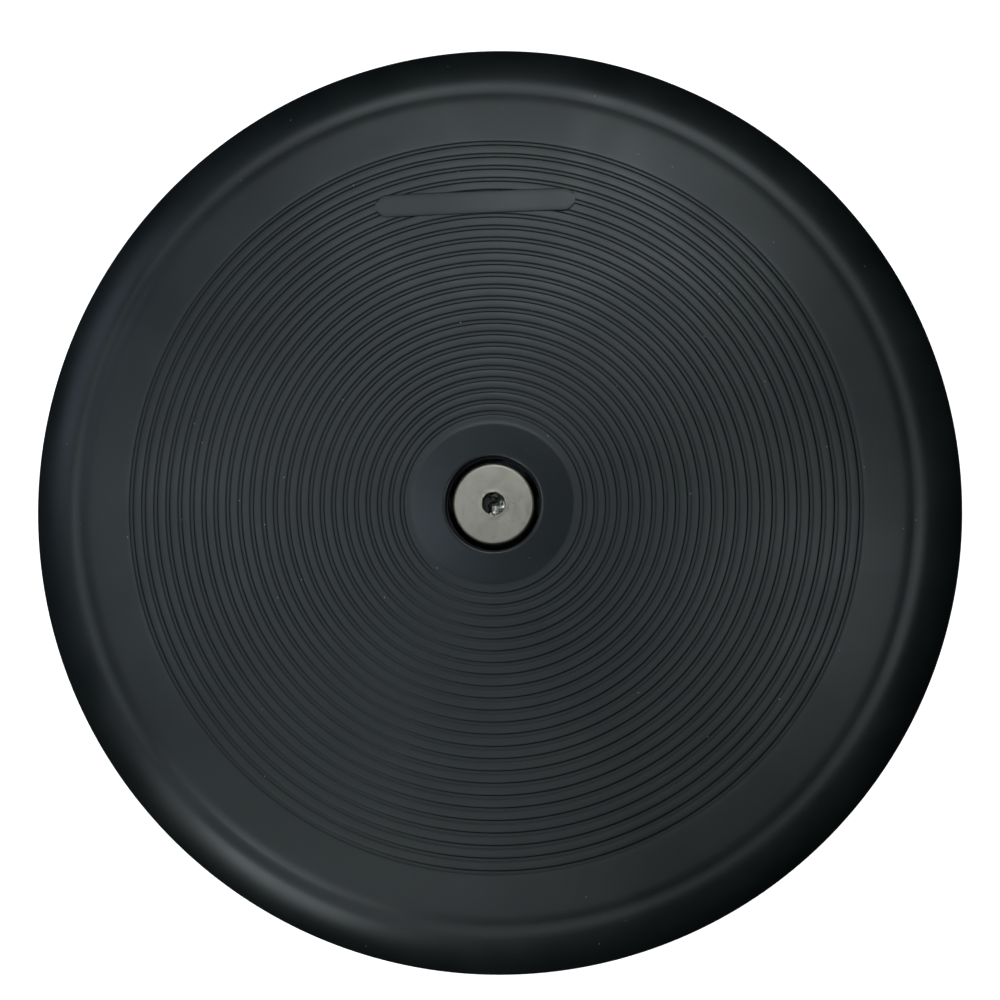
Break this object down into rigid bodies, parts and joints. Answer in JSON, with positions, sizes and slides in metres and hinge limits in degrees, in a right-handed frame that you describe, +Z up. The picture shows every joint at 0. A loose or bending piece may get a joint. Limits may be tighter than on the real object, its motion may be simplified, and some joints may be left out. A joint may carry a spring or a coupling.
{
  "type": "wobble cushion",
  "caption": "Round rubber-faced cushion with a ringed tread and rolled rim that rocks on a central gimbal over a weighted base; a steel post end shows in the middle.",
  "frame": {"origin": "on the floor, under the middle of the post", "axes": "+Z up out of the ringed tread; +X and +Y along the two tilt axes of the gimbal"},
  "size_m": [0.3298, 0.3298, 0.0841],
  "materials": {
    "tread_rubber": "satin moulded black rubber with fine concentric grooves",
    "soft_rubber": "matte moulded black rubber",
    "black_nylon": "matte glass-filled nylon, fine spark texture",
    "black_acetal": "turned black acetal",
    "post_steel": "dull machined steel end with faint smears",
    "forged_steel": "machined forged steel",
    "zinc_steel": "bright zinc plate",
    "black_steel": "black oxide",
    "cast_aluminium": "as-cast aluminium",
    "painted_iron": "textured black powder coat on cast iron"
  },
  "bodies": {
    "base": {"base_plate": "painted_iron", "foot_ring": "soft_rubber", "base_cap": "black_nylon", "post_bolt": "black_steel", "post_washer": "zinc_steel", "pedestal": "cast_aluminium", "pedestal_screw_1": "black_steel", "pedestal_screw_2": "black_steel", "pedestal_screw_3": "black_steel", "pedestal_screw_4": "black_steel", "bump_stop_1": "soft_rubber", "bump_stop_2": "soft_rubber", "bump_stop_3": "soft_rubber", "bump_stop_4": "soft_rubber", "post": "post_steel", "cross_pin": "black_steel", "cross_pin_lock_screw": "black_steel", "cross_spacer_1": "black_acetal", "cross_spacer_2": "black_acetal"},
    "gimbal": {"gimbal_ring": "forged_steel", "gimbal_bush_1": "soft_rubber", "gimbal_bush_2": "soft_rubber", "gimbal_bush_3": "soft_rubber", "gimbal_bush_4": "soft_rubber"},
    "top": {"tread_pad": "tread_rubber", "shell": "black_nylon", "clamp_segment_1": "black_nylon", "clamp_segment_2": "black_nylon", "clamp_segment_3": "black_nylon", "clamp_segment_4": "black_nylon", "clamp_screw_1": "zinc_steel", "clamp_screw_2": "zinc_steel", "clamp_screw_3": "zinc_steel", "clamp_screw_4": "zinc_steel", "clamp_screw_5": "zinc_steel", "clamp_screw_6": "zinc_steel", "clamp_screw_7": "zinc_steel", "clamp_screw_8": "zinc_steel", "hub": "cast_aluminium", "hub_screw_1": "zinc_steel", "hub_screw_2": "zinc_steel", "hub_screw_3": "zinc_steel", "hub_screw_4": "zinc_steel", "hub_screw_5": "zinc_steel", "hub_screw_6": "zinc_steel", "trunnion_pin_1": "black_steel", "trunnion_pin_2": "black_steel", "trunnion_lock_screw_1": "black_steel", "trunnion_lock_screw_2": "black_steel", "trunnion_spacer_1": "black_acetal", "trunnion_spacer_2": "black_acetal"}
  },
  "joints": [
    {"name": "tilt_x", "type": "hinge", "parent": "base", "child": "gimbal", "pos_m": [0, 0, 0.061], "axis": [1, 0, 0], "range_deg": [-4.5, 4.5], "stiffness_Nm_per_rad": 25},
    {"name": "tilt_y", "type": "hinge", "parent": "gimbal", "child": "top", "pos_m": [0, 0, 0.061], "axis": [0, 1, 0], "range_deg": [-4.5, 4.5], "stiffness_Nm_per_rad": 25}
  ]
}
